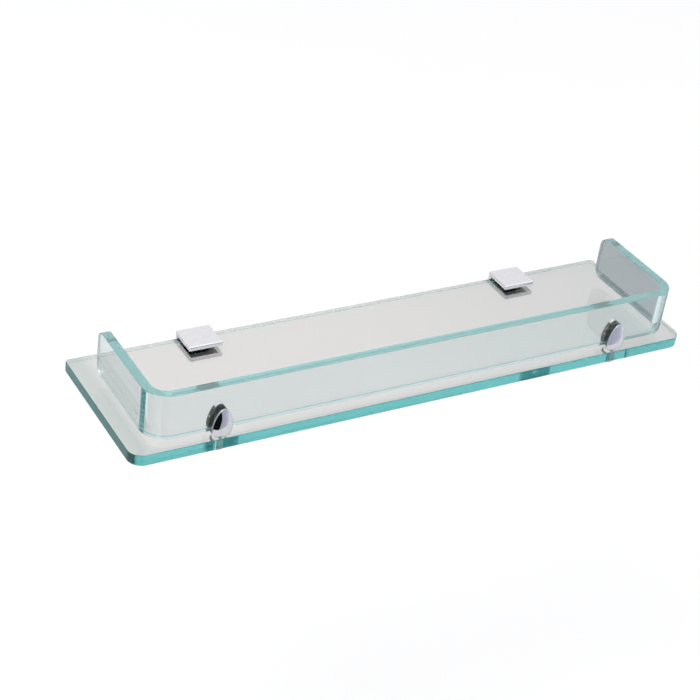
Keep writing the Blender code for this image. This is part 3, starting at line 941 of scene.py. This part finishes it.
    def add(self, skin: Skin, flat: Array, out: Array, lean: Array, rise: Array, faces: NDArray,
            edge: float) -> None:
        """Bends one part of the flat strip and adds it to the skin.

        Args:
            skin: The surface so far.
            flat: Places along the strip and up it.
            out: Distance out from the strip's middle.
            lean: The normal's parts along the strip and up it.
            rise: The normal's outward part.
            faces: Faces of this part.
            edge: The edge mark, left off on the two rows that touch the faces.
        """
        plan = self.bent(flat[..., 0], out)
        forward, outward = self.bent(flat[..., 0], out, normal=True)
        points = np.concatenate([plan, (self.low[2] + flat[..., 1])[..., None]], -1)
        turned_lean = forward * lean[..., :1] + outward * rise[..., None]
        normals = np.concatenate([turned_lean, lean[..., 1:]], -1)
        marks = np.zeros(points.shape[:2] + (3,))
        marks[:, 1:-1, 0] = edge
        low_part = np.clip(-lean[:, 1:-1, 1], 0, 1)
        marks[:, 1:-1, 2] = edge * (self.top_frost + (self.bottom_frost - self.top_frost) * low_part)
        # Painted shade on the returns, written into the 'shade' mark.
        marks[..., 1] = self.shade(flat[..., 0])
        skin.add(points, normals, faces, marks)


# ---------------------------------------------------------------- turned pieces


@dataclass
class Thread:
    """A screw thread: the radius falls and rises as a triangle wave that climbs one pitch a turn."""

    pitch: float
    depth: float
    steps: int = 8

    def grid(self, radius: float, low: float, high: float, segments: int) -> Array:
        """Points of the threaded shank.

        r = radius - depth * ramp * |2 * frac(h / pitch - a / turn) - 1|, where ramp falls to 0 over
        the first and last half pitch, so that the thread runs out.

        Args:
            radius: Outside radius.
            low: Where the thread starts.
            high: Where it ends.
            segments: Points round the axis.

        Returns:
            Rows of points from low to high.
        """
        rows = max(4, int((high - low) / self.pitch * self.steps))
        level = spaced(low, high, rows)[:, None]
        angle = (np.arange(segments) * TURN / segments)[None, :]
        wave = np.abs(2 * np.mod(level / self.pitch - angle / TURN, 1) - 1)
        ramp = np.clip(np.minimum(level - low, high - level) / (self.pitch / 2), 0, 1)
        reach = radius - self.depth * ramp * wave
        height = np.broadcast_to(level, reach.shape)
        return np.stack([reach * np.cos(angle), reach * np.sin(angle), height], -1)


@dataclass
class Screw:
    """A screw or bolt: a head or end with a hexagon socket, a threaded shank and a chamfered tip."""

    name: str
    node: str
    axis: Axis
    radius: float
    length: float
    key: float
    key_depth: float
    thread: Thread
    head_radius: float = 0.0
    head_height: float = 0.0
    chamfer: float = 0.4 * MM
    segments: int = 48
    head_edge: float = 0.15 * MM
    crown_rise: float = 0.62

    def build(self, finishes: Finishes) -> Piece:
        """Builds the screw in its frame node's box, with its socket at the start of its axis."""
        low, high = box_of(self.node)
        origin = (low + high) / 2
        if self.axis is Axis.UP:
            origin[2] = low[2]
        else:
            origin[1] = high[1]
        rings = [(0, self.key_depth + 0.25 * self.key, 0), (self.key * 0.98, self.key_depth, 1)]
        rings += [(self.key, 0.12 * self.key, 1), (self.key * 1.10, 0, 0)]
        if self.head_height:
            crown = np.radians(spaced(10, 90, 8))
            inner = self.key * 1.3
            wide = inner + (self.head_radius - inner) * np.sin(crown)
            tall = self.head_height * self.crown_rise * (1 - np.cos(crown))
            rings += [(r, h, 0) for r, h in zip(wide, tall)]
            rings += [(self.head_radius, self.head_height - self.head_edge, 0)]
            rings += [(self.head_radius - self.head_edge, self.head_height, 0)]
            rings += [(self.radius + 0.1 * MM, self.head_height, 0)]
            start = self.head_height
        else:
            rings += [(self.radius - self.chamfer, 0, 0), (self.radius, self.chamfer, 0)]
            start = self.chamfer
        end = self.length - self.chamfer
        head, _ = turned(np.array(rings, float), self.segments, closed=False)
        shank = self.thread.grid(self.radius, start, end, self.segments)
        tip_rings = [(self.radius, end), (self.radius - self.chamfer, self.length), (0, self.length)]
        tip, _ = turned(plain_profile(tip_rings), self.segments, closed=False)
        local = np.concatenate([head, shank, tip])
        faces = grid_faces(len(local), self.segments, wrap_columns=True).tolist()
        if self.axis is Axis.BACK:
            local = local * np.array([1, 1, -1])
        mesh = plain_mesh(self.name, set_along(local, self.axis, origin), faces, 32)
        mark_radius(mesh, self.axis, origin)
        return stand_for(self.node, self.name, mesh, finishes.steel)


@dataclass
class Ring:
    """A washer, gasket or sleeve: a rounded section turned about an upright axis."""

    name: str
    node: str
    bore: float
    edge: float

    def build(self, finishes: Finishes) -> Piece:
        """Builds the ring in its frame node's box."""
        low, high = box_of(self.node)
        origin = np.array([(low[0] + high[0]) / 2, (low[1] + high[1]) / 2, 0])
        outer = (high[0] - low[0]) / 2
        profile = ring_profile(outer, self.bore, low[2], high[2], self.edge)
        points, faces = turned(profile, 72, closed=True)
        mesh = plain_mesh(self.name, set_along(points, Axis.UP, origin), faces, 50)
        return stand_for(self.node, self.name, mesh, finishes.nylon)


# ---------------------------------------------------------------- guard clips


@dataclass
class GuardClip:
    """One egg-shaped chrome clip: a slotted body, its liner, and the bolt that ties it to the plate."""

    side: Side
    finishes: Finishes
    width: float = 18.0 * MM
    top: float = 26.2 * MM
    bottom: float = -0.6 * MM
    foot: float = 1.2 * MM
    egg: float = 0.32
    roundness: float = 0.85
    # Top band of the rear jaw left bright, above the painted shade on its sides.
    unshaded_top: float = 2.2 * MM
    half_depth: float = 9.5 * MM
    rear_edge: float = 1.0 * MM
    dome: float = 3.56 * MM
    rim_share: float = 0.055
    rim_depth: float = 0.45 * MM
    rear_draw: float = 0.10
    edge_round: float = 0.18 * MM
    well_radius: float = 3.1 * MM
    well_height: float = 3.0 * MM
    slot_half: float = 5.4 * MM
    slot_floor: float = 5.4 * MM
    bolt_radius: float = 2.5 * MM
    screw_radius: float = 1.9 * MM
    screw_height: float = 17.5 * MM
    clearance: float = 0.3 * MM

    def origin(self) -> Array:
        """Gives the middle of the clip, on the guard's middle plane and the plate's top face."""
        low, high = box_of(f"clip_body_{self.side.value}")
        return np.array([(low[0] + high[0]) / 2, (low[1] + high[1]) / 2, 0])

    def egg_outline(self, around: int = 96) -> Array:
        """The jaws' outline in X and Z: an egg, widest below its middle.

        With a going round from the bottom, x follows sign(sin a) * |sin a| ** roundness *
        (1 + egg * cos a), brought to the full width at its widest, and z = centre - half * cos a.

        Args:
            around: Points in the outline.

        Returns:
            Points of two, from the bottom round by +X.
        """
        angle = np.arange(around) * TURN / around
        share = np.sign(np.sin(angle)) * np.abs(np.sin(angle)) ** self.roundness
        share = share * (1 + self.egg * np.cos(angle))
        half = (self.top - self.bottom) / 2
        height = (self.top + self.bottom) / 2 - half * np.cos(angle)
        return np.stack([self.width / 2 * share / share.max(), height], -1)

    def egg_grid(self, dome_steps: int = 22) -> tuple[Array, list[list[int]]]:
        """The whole egg, from the middle of its rear face round to the tip of its dome.

        Each section is the outline drawn in towards the egg's centre by a scale. Scale and y follow a
        side profile: a rounded rear edge, a straight side, a small quarter circle at the rim, and a
        dome whose height falls with the square of the scale.

        Args:
            dome_steps: Sections in the dome.

        Returns:
            Points, one row for each section, and faces.
        """
        outline = self.egg_outline()
        centre = (self.top + self.bottom) / 2
        rim = self.dome - self.half_depth + 0.05 * MM
        rear = np.radians(spaced(0, 90, 8))
        turn = np.radians(spaced(0, 75, 6))
        shrink = spaced(1 - self.rim_share, 0, dome_steps)
        rise = (self.dome - self.rim_depth) * (1 - (shrink / (1 - self.rim_share)) ** 2)
        flat = np.array([0.0, 0.45])
        drawn = 1 - self.rear_draw * (1 - np.sin(rear))
        scale = np.concatenate([flat, drawn, 1 - self.rim_share * (1 - np.cos(turn)), shrink])
        depth = np.concatenate([
            np.full(2, self.half_depth),
            self.half_depth - self.rear_edge * (1 - np.cos(rear)),
            rim - self.rim_depth * np.sin(turn),
            rim - self.rim_depth - rise,
        ])
        scale, depth = scale[:, None], depth[:, None]
        x = scale * outline[None, :, 0]
        z = centre + scale * (outline[None, :, 1] - centre)
        points = np.stack([x, np.broadcast_to(depth, x.shape), z], -1)
        return points, grid_faces(len(scale), len(outline), wrap_columns=True).tolist()

    def cutters(self) -> list[Mesh]:
        """The slot for the guard, the flat foot, the bolt's thread and the screw's thread."""
        reach = self.width
        inner = 1.0 * MM
        slot, _ = rounded_loop(np.array([-self.slot_half, self.slot_floor]),
                               np.array([self.slot_half, self.top + 2 * MM]),
                               (inner / 2, inner / 2, inner / 4, inner / 4), 5)
        foot = np.array([(-reach, -reach), (reach, -reach), (reach, self.foot), (-reach, self.foot)])
        bore = circle((0, 0), self.bolt_radius + self.clearance)
        tapped = circle((0, self.screw_height), self.screw_radius + self.clearance, 36)
        return [
            prism("slot", slot, "X", -reach, reach),
            prism("foot", foot, "X", -reach, reach),
            prism("bore", bore, "Z", -2 * MM, self.slot_floor - 0.8 * MM),
            prism("tapped", tapped, "Y", self.slot_half - 1 * MM, self.half_depth + 2 * MM),
        ]

    def build_body(self) -> Piece:
        """Builds the slotted body: painted shade in the slot and on the rear jaw's sides but for its top,
        unplated casting in the bolt well.
        """
        points, faces = self.egg_grid()
        name = f"clip_{self.side.value}"
        mesh = carve(name, plain_mesh("egg", points, faces), self.cutters(), [], self.edge_round)
        where = face_centres(mesh)
        # Painted shade in the slot and on the rear jaw's sides; unplated casting in the hidden bolt well.
        above = where[:, 2] > self.slot_floor - NEAR
        inside = (np.abs(where[:, 1]) < self.slot_half + NEAR) & above
        side = (where[:, 1] > 0) & (where[:, 1] < self.half_depth - self.rear_edge) & above
        inside |= side & (where[:, 2] < self.top - self.unshaded_top)
        in_well = np.hypot(where[:, 0], where[:, 1]) < self.well_radius
        hidden = in_well & (where[:, 2] < self.foot + self.well_height)
        mark_faces(mesh, "raw_and_painted_shade", inside | hidden)
        mesh.transform(Matrix.Translation(self.origin()))
        return stand_for(f"clip_body_{self.side.value}", name, mesh, self.finishes.chrome)

    def dress_liner(self) -> None:
        """Gives the frame's own liner its vinyl finish."""
        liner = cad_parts[f"clip_liner_{self.side.value}"]
        liner.data.materials.clear()
        liner.data.materials.append(self.finishes.vinyl)

    def build(self) -> list[Piece]:
        """Builds every piece of the clip."""
        side = self.side.value
        pieces = [self.build_body()]
        self.dress_liner()
        bore = self.bolt_radius + self.clearance
        for part, edge in (("gasket", 0.15 * MM), ("sleeve", 0.3 * MM), ("washer", 0.25 * MM)):
            ring = Ring(f"{part}_{side}", f"clip_{part}_{side}", bore, edge)
            pieces.append(ring.build(self.finishes))
        low, high = box_of(f"clip_bolt_{side}")
        bolt = Screw(f"bolt_{side}", f"clip_bolt_{side}", Axis.UP, self.bolt_radius, high[2] - low[2],
                     1.45 * MM, 1.4 * MM, Thread(0.8 * MM, 0.35 * MM), 4.6 * MM, 2.6 * MM)
        pieces.append(bolt.build(self.finishes))
        low, high = box_of(f"clip_screw_{side}")
        screw = Screw(f"grub_screw_{side}", f"clip_screw_{side}", Axis.BACK, self.screw_radius,
                      high[1] - low[1], 0.95 * MM, 1.6 * MM, Thread(0.6 * MM, 0.25 * MM), chamfer=0.3 * MM)
        pieces.append(screw.build(self.finishes))
        return pieces


# ---------------------------------------------------------------- wall clamps


@dataclass
class WallClamp:
    """One square chrome clamp that grips the plate's rear edge, with its pads and set screw."""

    side: Side
    finishes: Finishes
    width: float = 30 * MM
    depth: float = 28 * MM
    lower_reach: float = 30 * MM
    top_jaw: float = 3.7 * MM
    nose: float = 2.1 * MM
    back_wall: float = 3.7 * MM
    corner: float = 2.6 * MM
    slot_top: float = 1.3 * MM
    slot_bottom: float = -9.8 * MM
    bottom: float = -12.8 * MM
    boss_radius: float = 5.0 * MM
    boss_height: float = 2.5 * MM
    lip: float = 1.3 * MM
    pocket_radius: float = 6.1 * MM
    pocket_depth: float = 1.5 * MM
    screw_y: float = -16.5 * MM
    screw_radius: float = 2.4 * MM
    clearance: float = 0.3 * MM
    wall_hole: float = 2.3 * MM
    countersink: float = 4.2 * MM
    countersink_depth: float = 1.9 * MM
    wall_hole_z: float = -4.75 * MM
    slot_chamfer: float = 0.5 * MM
    edge_round: float = 0.35 * MM

    def origin(self) -> Array:
        """Gives the clamp's middle on the wall plane, at the plate's top face."""
        low, high = box_of(f"clamp_body_{self.side.value}")
        return np.array([(low[0] + high[0]) / 2, 0, 0])

    def profile(self) -> Array:
        """Side view in Y and Z: back wall, lower jaw, glass slot and top jaw with a round nose."""
        top = self.slot_top + self.top_jaw
        lower = [(0, self.bottom), (-self.lower_reach, self.bottom), (-self.lower_reach, self.slot_bottom)]
        slot = [(-self.back_wall, self.slot_bottom), (-self.back_wall, self.slot_top)]
        slot += [(-self.depth + self.slot_chamfer, self.slot_top)]
        slot += [(-self.depth, self.slot_top + self.slot_chamfer)]
        nose = arc_points((-self.depth + self.nose, top - self.nose), self.nose, 180, 90, 16)
        return np.concatenate([np.array(lower + slot), nose, [(0, top)]])

    def corner_cutters(self) -> list[Mesh]:
        """Slivers that round the lower jaw's two front corners in plan."""
        cutters = []
        past = 1 * MM
        for sign in (-1, 1):
            edge = sign * self.width / 2
            centre = (edge - sign * self.corner, -self.lower_reach + self.corner)
            start, end = (180, 270) if sign < 0 else (360, 270)
            curve = arc_points(centre, self.corner, start, end, 12)
            outside = [(centre[0], -self.lower_reach - past), (edge + sign * past, -self.lower_reach - past)]
            outside += [(edge + sign * past, centre[1])]
            outline = np.concatenate([curve, np.array(outside)])
            level = (self.bottom - past, self.slot_bottom + past)
            cutters.append(prism(f"corner_{sign}", outline, "Z", *level))
        return cutters

    def lip_cutters(self) -> list[Mesh]:
        """Wedges that slope the lower jaw's upper edges, at the front and at both sides."""
        past = 0.2 * MM
        reach = self.lip + 2 * past
        top, front = self.slot_bottom + past, -self.lower_reach - past
        wedge = np.array([(front, top), (front, top - reach), (front + reach, top)])
        cutters = [prism("lip_front", wedge, "X", -self.width, self.width)]
        for sign in (-1, 1):
            edge = sign * (self.width / 2 + past)
            wedge = np.array([(edge, top), (edge, top - reach), (edge - sign * reach, top)])
            cutters.append(prism(f"lip_{sign}", wedge, "Y", -2 * self.lower_reach, -self.back_wall - past))
        return cutters

    def build_body(self) -> Piece:
        """Builds the clamp's casting: profile, rounded corners, pad pocket, boss and holes."""
        half = self.width / 2
        past = 0.5 * MM
        pocket_floor = self.slot_bottom - self.pocket_depth
        boss_bottom = self.bottom - self.boss_height
        base = prism("clamp", self.profile(), "X", -half, half)
        axis = (0, self.screw_y)
        pocket = circle(axis, self.pocket_radius, 60)
        boss = circle(axis, self.boss_radius)
        hole = circle(axis, self.screw_radius + self.clearance)
        boss_mesh = prism("boss", boss, "Z", boss_bottom, self.bottom + past)
        cuts = [prism("pocket", pocket, "Z", pocket_floor, self.slot_bottom + past)]
        cuts += [prism("hole", hole, "Z", boss_bottom - past, self.slot_bottom + past)]
        slope = (self.countersink - self.wall_hole) / self.countersink_depth
        rings = [(0, -2 * MM), (self.wall_hole, -2 * MM)]
        rings += [(self.wall_hole, self.back_wall - self.countersink_depth)]
        rings += [(self.countersink + past * slope, self.back_wall + past), (0, self.back_wall + past)]
        points, faces = turned(plain_profile(rings), 48, closed=False)
        points = np.stack([points[..., 0], -points[..., 2], points[..., 1] + self.wall_hole_z], -1)
        cuts.append(plain_mesh("wall_hole", points, faces))
        cuts += self.corner_cutters() + self.lip_cutters()
        name = f"clamp_{self.side.value}"
        mesh = carve(name, base, cuts, [boss_mesh], self.edge_round)
        where = face_centres(mesh)
        # Painted shade under the top jaw and in the pad pocket, in the casting's dark colour.
        in_slot = (where[:, 1] < -self.back_wall + NEAR) & (where[:, 1] > -self.depth + 0.6 * MM)
        inside = in_slot & (np.abs(where[:, 2] - self.slot_top) < NEAR)
        in_pocket = np.hypot(where[:, 0], where[:, 1] - self.screw_y) < self.pocket_radius + NEAR
        inside |= in_pocket & (where[:, 2] < self.slot_bottom - 0.3 * MM) & (where[:, 2] > self.bottom)
        mark_faces(mesh, "raw_and_painted_shade", inside)
        mesh.transform(Matrix.Translation(self.origin()))
        return stand_for(f"clamp_body_{self.side.value}", name, mesh, self.finishes.chrome)

    def build_upper_pad(self) -> Piece:
        """Builds the clear pad under the top jaw: a thin sheet with soft edges and rounded corners."""
        low, high = box_of(f"clamp_upper_pad_{self.side.value}")
        half = (high[2] - low[2]) / 2
        soft = half * 0.8
        loop, outward = rounded_loop(low[:2] + soft, high[:2] - soft, (1.2 * MM,) * 4, 8)
        points, normals = edge_band(loop, outward, half, soft)
        skin = Skin()
        skin.add(points, normals, grid_faces(*points.shape[:2], wrap_rows=True))
        add_caps(skin, [loop], half)
        mesh = skin.mesh(f"jaw_pad_{self.side.value}")
        mesh.transform(Matrix.Translation((0, 0, (low[2] + high[2]) / 2)))
        node = f"clamp_upper_pad_{self.side.value}"
        return stand_for(node, mesh.name, mesh, self.finishes.vinyl)

    def build_pressure_pad(self) -> Piece:
        """Builds the round rubber pad on the set screw, with a shallow dish under the glass."""
        low, high = box_of(f"clamp_pressure_pad_{self.side.value}")
        radius, height = (high[0] - low[0]) / 2, high[2] - low[2]
        rings = [(0, 0), (radius - 0.3 * MM, 0), (radius - 0.08 * MM, 0.1 * MM), (radius, 0.3 * MM)]
        rings += [(radius, height - 0.3 * MM), (radius - 0.1 * MM, height - 0.08 * MM)]
        rings += [(radius - 0.3 * MM, height), (radius * 0.75, height)]
        rings += [(radius * 0.68, height - 0.25 * MM), (0, height - 0.35 * MM)]
        origin = np.array([(low[0] + high[0]) / 2, (low[1] + high[1]) / 2, low[2]])
        points, faces = turned(plain_profile(rings), 60, closed=False)
        name = f"pressure_pad_{self.side.value}"
        mesh = plain_mesh(name, points + origin, faces, 40)
        node = f"clamp_pressure_pad_{self.side.value}"
        return stand_for(node, name, mesh, self.finishes.rubber)

    def build(self) -> list[Piece]:
        """Builds every piece of the clamp."""
        node = f"clamp_set_screw_{self.side.value}"
        low, high = box_of(node)
        screw = Screw(f"set_screw_{self.side.value}", node, Axis.UP, self.screw_radius, high[2] - low[2],
                      1.25 * MM, 2.0 * MM, Thread(0.7 * MM, 0.3 * MM), chamfer=0.35 * MM)
        pieces = [self.build_body(), self.build_upper_pad(), self.build_pressure_pad()]
        return pieces + [screw.build(self.finishes)]


# ---------------------------------------------------------------- studio


@dataclass(frozen=True)
class Card:
    """A studio card that only glossy rays see, so that polished surfaces have something to reflect.

    It stands in X and Z at a depth in Y or, where level, lies in X and Y at a height. Its light is the
    colour at its low X and gain times the colour at its high X, with faint clouds.
    """

    name: str
    low: tuple[float, float]
    high: tuple[float, float]
    depth: float
    colour: Colour
    gain: float = 1.0
    level: bool = False
    cloud: float = 0.88

    def build(self) -> Piece:
        """Builds the card."""
        corners = [(self.low[0], self.depth, self.low[1]), (self.high[0], self.depth, self.low[1])]
        corners += [(self.high[0], self.depth, self.high[1]), (self.low[0], self.depth, self.high[1])]
        if self.level:
            corners = [(x, z, y) for x, y, z in corners]
        mesh = bpy.data.meshes.new(self.name)
        mesh.from_pydata(corners, [], [(0, 1, 2, 3)])
        material = bpy.data.materials.new(self.name)
        material.use_nodes = True
        nodes = Nodes(material.node_tree)
        nodes.tree.nodes.remove(nodes.tree.nodes["Principled BSDF"])
        clouds = nodes.between(nodes.noise(2.0))
        shades = nodes.mix(clouds, self.colour, scaled(self.colour, self.cloud))
        across = nodes.between(nodes.axis("X"), 0, 1, self.low[0], self.high[0])
        glow = nodes.add("Emission", {"Color": nodes.mix(across, shades, scaled(self.colour, self.gain))})
        nodes.feed(nodes.tree.nodes["Material Output"].inputs["Surface"], glow.outputs["Emission"])
        card = place(self.name, mesh, material)
        card.visible_camera = card.visible_diffuse = False
        card.visible_transmission = card.visible_shadow = False
        return card


CARDS = (
    Card("grey_card", (-0.30, -0.52), (2.2, 1.6), -0.75, (0.37, 0.39, 0.47), 2.0),
    Card("dark_card", (-1.25, -0.52), (-0.30, 0.20), -0.75, (0.006, 0.006, 0.008)),
    Card("floor_card", (-4.0, -4.0), (4.0, 4.0), -0.53, (0.74, 0.74, 0.77), level=True),
)


@dataclass
class Studio:
    """Floor, soft light, surroundings and camera."""

    floor_drop: float = 0.55
    floor_size: float = 40.0
    azimuth: float = -33.22
    elevation: float = 32.78
    roll: float = 7.98
    distance: float = 1.43601
    slide: tuple[float, float] = (-0.06605, 0.03471)
    front_edge: float = -0.144
    lens: float = 90.49
    low_sky: Colour = (0.88, 0.88, 0.90)
    high_sky: Colour = (1.22, 1.22, 1.22)

    def build_floor(self) -> Piece:
        """Lays the plain pale floor below the shelf."""
        half = self.floor_size / 2
        corner = np.array([(-half, -half), (half, -half), (half, half), (-half, half)])
        points = np.column_stack([corner, np.full(4, -self.floor_drop)])
        mesh = bpy.data.meshes.new("floor")
        mesh.from_pydata(points.tolist(), [], [(0, 1, 2, 3)])
        floor = place("floor", mesh, PaleFloor().make())
        return floor

    def directions(self) -> tuple[Array, Array, Array]:
        """Works out the camera's right, up and back directions from its angles.

        back = (sin a cos e, -cos a cos e, sin e); right is level and square to it; up completes the
        three; right and up then turn by the roll.

        Returns:
            The three unit vectors.
        """
        a, e, r = np.radians([self.azimuth, self.elevation, self.roll])
        back = np.array([np.sin(a) * np.cos(e), -np.cos(a) * np.cos(e), np.sin(e)])
        level = np.cross(-back, [0, 0, 1])
        level /= np.linalg.norm(level)
        upright = np.cross(level, -back)
        right = level * np.cos(r) + upright * np.sin(r)
        return right, upright * np.cos(r) - level * np.sin(r), back

    def build_camera(self) -> Piece:
        """Sets up the camera at its measured angle, with no shift and no depth of field."""
        right, up, back = self.directions()
        place_at = back * self.distance + right * self.slide[0] + up * self.slide[1]
        place_at[1] += self.front_edge
        data = bpy.data.cameras.new("camera")
        data.lens = self.lens
        data.clip_end = 200
        camera = bpy.data.objects.new("camera", data)
        camera.matrix_world = Matrix([(*row, at) for row, at in zip(np.stack([right, up, back], 1), place_at)]
                                     + [(0, 0, 0, 1)])
        bpy.context.scene.collection.objects.link(camera)
        bpy.context.scene.camera = camera
        return camera

    def build_lamp(self, name: str, at: Array, aim: Array, size: tuple[float, float], power: float,
                   colour: Colour) -> Piece:
        """Adds one soft box.

        Args:
            name: The lamp's name.
            at: Where it stands.
            aim: The point that it faces.
            size: Width and height.
            power: Watts.
            colour: Light colour.

        Returns:
            The lamp.
        """
        data = bpy.data.lights.new(name, "AREA")
        data.shape = "RECTANGLE"
        data.size, data.size_y = size
        data.energy = power
        data.color = colour
        lamp = bpy.data.objects.new(name, data)
        lamp.location = at
        lamp.rotation_euler = Vector(aim - at).to_track_quat("-Z", "Y").to_euler()
        bpy.context.scene.collection.objects.link(lamp)
        return lamp

    def build_surroundings(self) -> None:
        """Builds the room's soft surround: its colour goes from a low value to a brighter one overhead."""
        world = bpy.data.worlds.new("studio")
        bpy.context.scene.world = world
        world.use_nodes = True
        nodes = Nodes(world.node_tree)
        rise = nodes.between(nodes.axis("Z", "Generated"), 0, 1, 0.50, 0.95)
        back = nodes.tree.nodes["Background"].inputs
        nodes.feed(back["Color"], nodes.mix(rise, self.low_sky, self.high_sky))
        nodes.feed(back["Strength"], 1.0)

    def build_view(self) -> None:
        """Plain view transform, and enough light paths for light that runs along the inside of glass."""
        scene = bpy.context.scene
        scene.view_settings.view_transform = "Standard"
        scene.view_settings.look = "None"
        cycles = scene.cycles
        cycles.max_bounces = cycles.glossy_bounces = cycles.transmission_bounces = 48
        cycles.diffuse_bounces = 4
        cycles.volume_bounces = 0
        cycles.caustics_refractive = True
        cycles.caustics_reflective = True
        cycles.sample_clamp_indirect = 6.0
        cycles.use_denoising = True

    def build(self) -> None:
        """Builds the whole studio."""
        self.build_floor()
        self.build_camera()
        self.build_surroundings()
        for card in CARDS:
            card.build()
        self.build_lamp("key_light", np.array([-0.9, -0.5, 1.6]), np.array([0, -0.07, 0]), (1.0, 0.8), 9.0,
                        (1.0, 1.0, 1.0))
        self.build_view()


def main() -> None:
    """Builds every piece in order and reports it."""
    logging.basicConfig(level=logging.INFO, format="%(name)s: %(message)s")
    finishes = Finishes()
    builders = [ShelfPlate(finishes), GuardRail(finishes)]
    builders += [GuardClip(side, finishes) for side in Side]
    builders += [WallClamp(side, finishes) for side in Side]
    for builder in builders:
        made = builder.build()
        pieces = made if isinstance(made, list) else [made]
        for piece in pieces:
            log.info("%s: %s, %d faces", type(builder).__name__, piece.name, len(piece.data.polygons))
    Studio().build()


if __name__ == "__main__":
    main()
